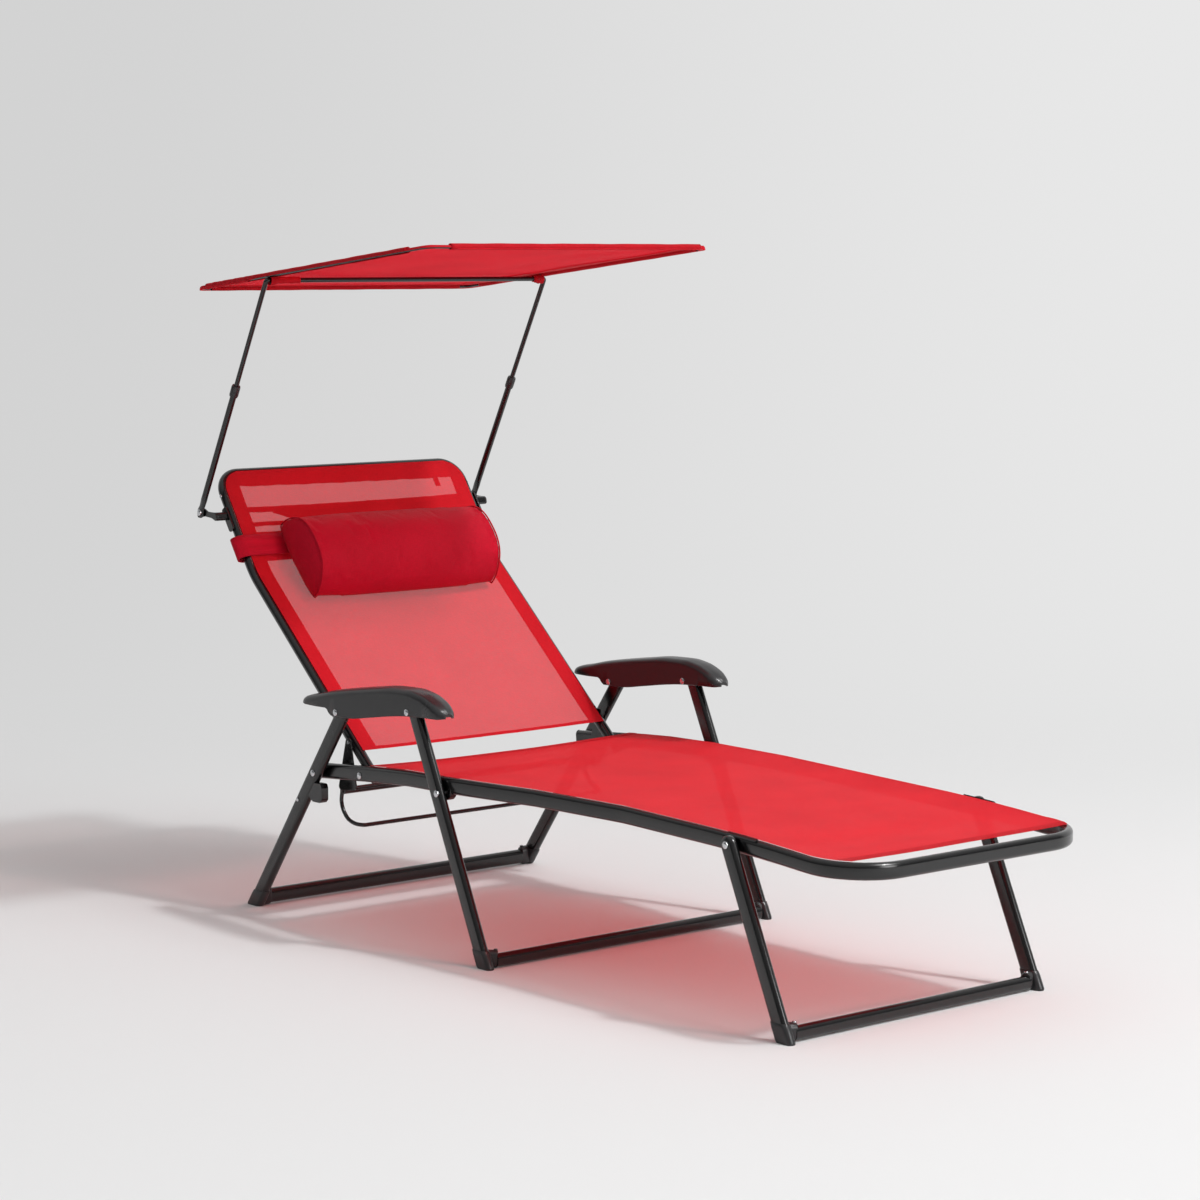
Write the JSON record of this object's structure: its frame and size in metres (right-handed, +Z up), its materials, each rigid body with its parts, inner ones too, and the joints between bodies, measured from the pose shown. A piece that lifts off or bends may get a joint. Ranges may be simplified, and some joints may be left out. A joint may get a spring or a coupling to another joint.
{
  "type": "sun lounger",
  "caption": "Folding sun lounger with red mesh seat and back, a strapped neck pillow, moulded armrests and a tilting canopy on two telescoping supports.",
  "frame": {"origin": "middle of the footprint on the floor, under the centre of the bounding box", "axes": "+X toward the foot end, +Y toward the left of a person lying on it, +Z up"},
  "size_m": [1.6753, 0.668, 1.1902],
  "materials": {
    "painted_steel": "satin powder coat",
    "black_plastic": "matte moulded",
    "zinc_rivet": "zinc plated",
    "red_mesh": "woven coated mesh",
    "red_padding": "woven cover over soft filling"
  },
  "bodies": {
    "seat": {"seat_rail_right": "painted_steel", "seat_rail_left": "painted_steel", "foot_saddle_right": "painted_steel", "foot_saddle_left": "painted_steel", "hinge_pin_right": "zinc_rivet", "hinge_pin_left": "zinc_rivet", "front_pivot_pin_right": "zinc_rivet", "front_pivot_pin_left": "zinc_rivet", "foot_pivot_pin_right": "zinc_rivet", "foot_pivot_pin_left": "zinc_rivet", "foot_bow": "painted_steel", "seat_cloth": "red_mesh", "seat_head_rod": "painted_steel"},
    "front_legs": {"front_leg_right": "painted_steel", "front_leg_left": "painted_steel", "front_shoe_right": "black_plastic", "front_shoe_left": "black_plastic", "armrest_pin_front_right": "zinc_rivet", "armrest_pin_front_left": "zinc_rivet", "front_floor_bar": "painted_steel"},
    "armrests": {"armrest_right": "black_plastic", "armrest_left": "black_plastic", "armrest_pin_rear_right": "zinc_rivet", "armrest_pin_rear_left": "zinc_rivet"},
    "rear_legs": {"rear_leg_right": "painted_steel", "rear_leg_left": "painted_steel", "rear_shoe_right": "black_plastic", "rear_shoe_left": "black_plastic", "latch_block_right": "black_plastic", "latch_block_left": "black_plastic", "latch_bolt_right": "zinc_rivet", "latch_bolt_left": "zinc_rivet", "rear_floor_bar": "painted_steel"},
    "foot_legs": {"foot_leg_right": "painted_steel", "foot_leg_left": "painted_steel", "foot_shoe_right": "black_plastic", "foot_shoe_left": "black_plastic", "foot_floor_bar": "painted_steel"},
    "backrest": {"back_hoop": "painted_steel", "back_cloth": "red_mesh", "neck_pillow": "red_padding", "pillow_strap": "red_padding", "canopy_bracket_right": "painted_steel", "canopy_bracket_left": "painted_steel", "support_pin_right": "zinc_rivet", "support_pin_left": "zinc_rivet"},
    "stay": {"stay_plate_right": "painted_steel", "stay_plate_left": "painted_steel", "stay_bar": "painted_steel", "stay_bail": "painted_steel"},
    "canopy_arms": {"support_sleeve_right": "painted_steel", "support_sleeve_left": "painted_steel", "support_collar_right": "black_plastic", "support_collar_left": "black_plastic"},
    "canopy_rods": {"upper_rod_right": "painted_steel", "upper_rod_left": "painted_steel", "canopy_crossbar": "painted_steel"},
    "canopy": {"canopy_frame": "painted_steel", "canopy_cloth": "red_mesh"}
  },
  "joints": [
    {"name": "front_leg_fold", "type": "hinge", "parent": "seat", "child": "front_legs", "pos_m": [-0.104, 0, 0.2775], "axis": [0, -1, 0], "range_deg": [0, 46]},
    {"name": "arm_fold", "type": "hinge", "parent": "front_legs", "child": "armrests", "pos_m": [-0.171, 0, 0.408], "axis": [0, -1, 0], "range_deg": [-50.6, 0]},
    {"name": "rear_leg_fold", "type": "hinge", "parent": "armrests", "child": "rear_legs", "pos_m": [-0.378, 0, 0.385], "axis": [0, -1, 0], "range_deg": [0, 104]},
    {"name": "foot_leg_fold", "type": "hinge", "parent": "seat", "child": "foot_legs", "pos_m": [0.571, 0, 0.2834], "axis": [0, 1, 0], "range_deg": [0, 82]},
    {"name": "recline", "type": "hinge", "parent": "seat", "child": "backrest", "pos_m": [-0.349, 0, 0.275], "axis": [0, -1, 0], "range_deg": [-68, 41.5]},
    {"name": "stay_swing", "type": "hinge", "parent": "backrest", "child": "stay", "pos_m": [-0.405, 0, 0.325], "axis": [0, -1, 0], "range_deg": [-20, 12]},
    {"name": "canopy_swing", "type": "hinge", "parent": "backrest", "child": "canopy_arms", "pos_m": [-0.823, 0, 0.704], "axis": [0, 1, 0], "range_deg": [-70, 32]},
    {"name": "canopy_slide", "type": "slide", "parent": "canopy_arms", "child": "canopy_rods", "axis": [0.4653, 0, 0.8851], "range_m": [-0.1, 0.08]},
    {"name": "canopy_tilt", "type": "hinge", "parent": "canopy_rods", "child": "canopy", "pos_m": [-0.6, 0, 1.1282], "axis": [0, -1, 0], "range_deg": [-35, 30]}
  ],
  "couplings": [
    {"joint": "arm_fold", "follows": "front_leg_fold", "ratio": -1.1},
    {"joint": "rear_leg_fold", "follows": "front_leg_fold", "ratio": 2.26}
  ]
}
